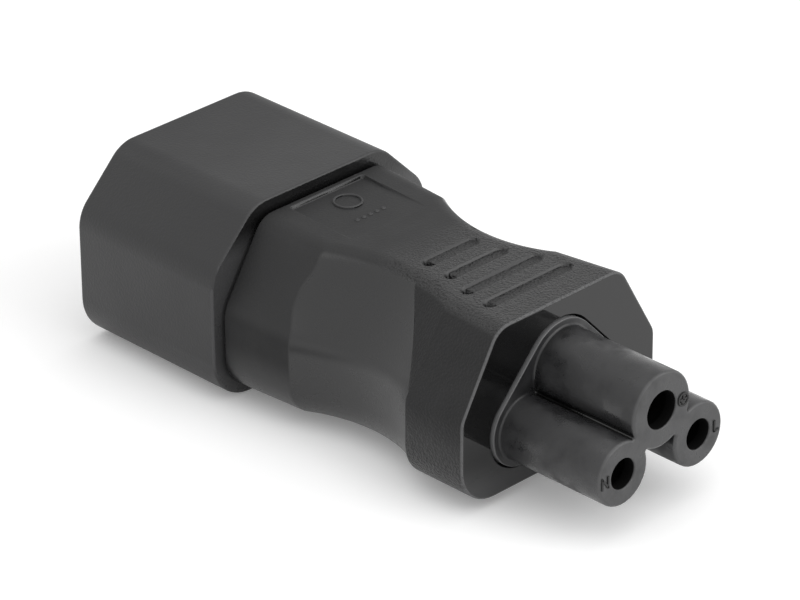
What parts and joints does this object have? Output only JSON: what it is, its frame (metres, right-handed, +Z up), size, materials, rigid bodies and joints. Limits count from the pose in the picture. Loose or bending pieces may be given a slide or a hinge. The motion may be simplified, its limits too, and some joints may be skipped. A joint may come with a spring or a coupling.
{
  "type": "iec power adapter",
  "caption": "Straight mains adapter with a flat-pin male shroud at one end, a waisted grip and a round-barrelled female nose at the other.",
  "frame": {"origin": "centre of the footprint box, at the height of the shroud's flat base", "axes": "+Z up, +Y along the adapter towards the mouth of the male shroud, the female nose points to -Y, +X completes the right-handed frame"},
  "size_m": [0.028, 0.0628, 0.0194],
  "materials": {
    "shroud_plastic": "fine matte texture",
    "grip_vinyl": "satin scoops, grained ends",
    "insert_plastic": "satin",
    "retainer_plastic": "natural nylon",
    "plated_brass": "nickel plated",
    "bare_brass": "bright",
    "copper": "stranded",
    "brown_vinyl": "satin",
    "blue_vinyl": "satin",
    "green_yellow_vinyl": "satin, two-colour stripe"
  },
  "bodies": {
    "root": {"c14_shroud": "shroud_plastic", "grip_body": "grip_vinyl", "c5_insert": "insert_plastic", "pin_retainer": "retainer_plastic", "contact_retainer": "retainer_plastic", "line_pin": "plated_brass", "neutral_pin": "plated_brass", "earth_pin": "plated_brass", "line_contact": "bare_brass", "neutral_contact": "bare_brass", "earth_contact": "bare_brass", "line_wire": "copper", "neutral_wire": "copper", "earth_wire": "copper", "line_insulation": "brown_vinyl", "neutral_insulation": "blue_vinyl", "earth_insulation": "green_yellow_vinyl"}
  },
  "joints": []
}
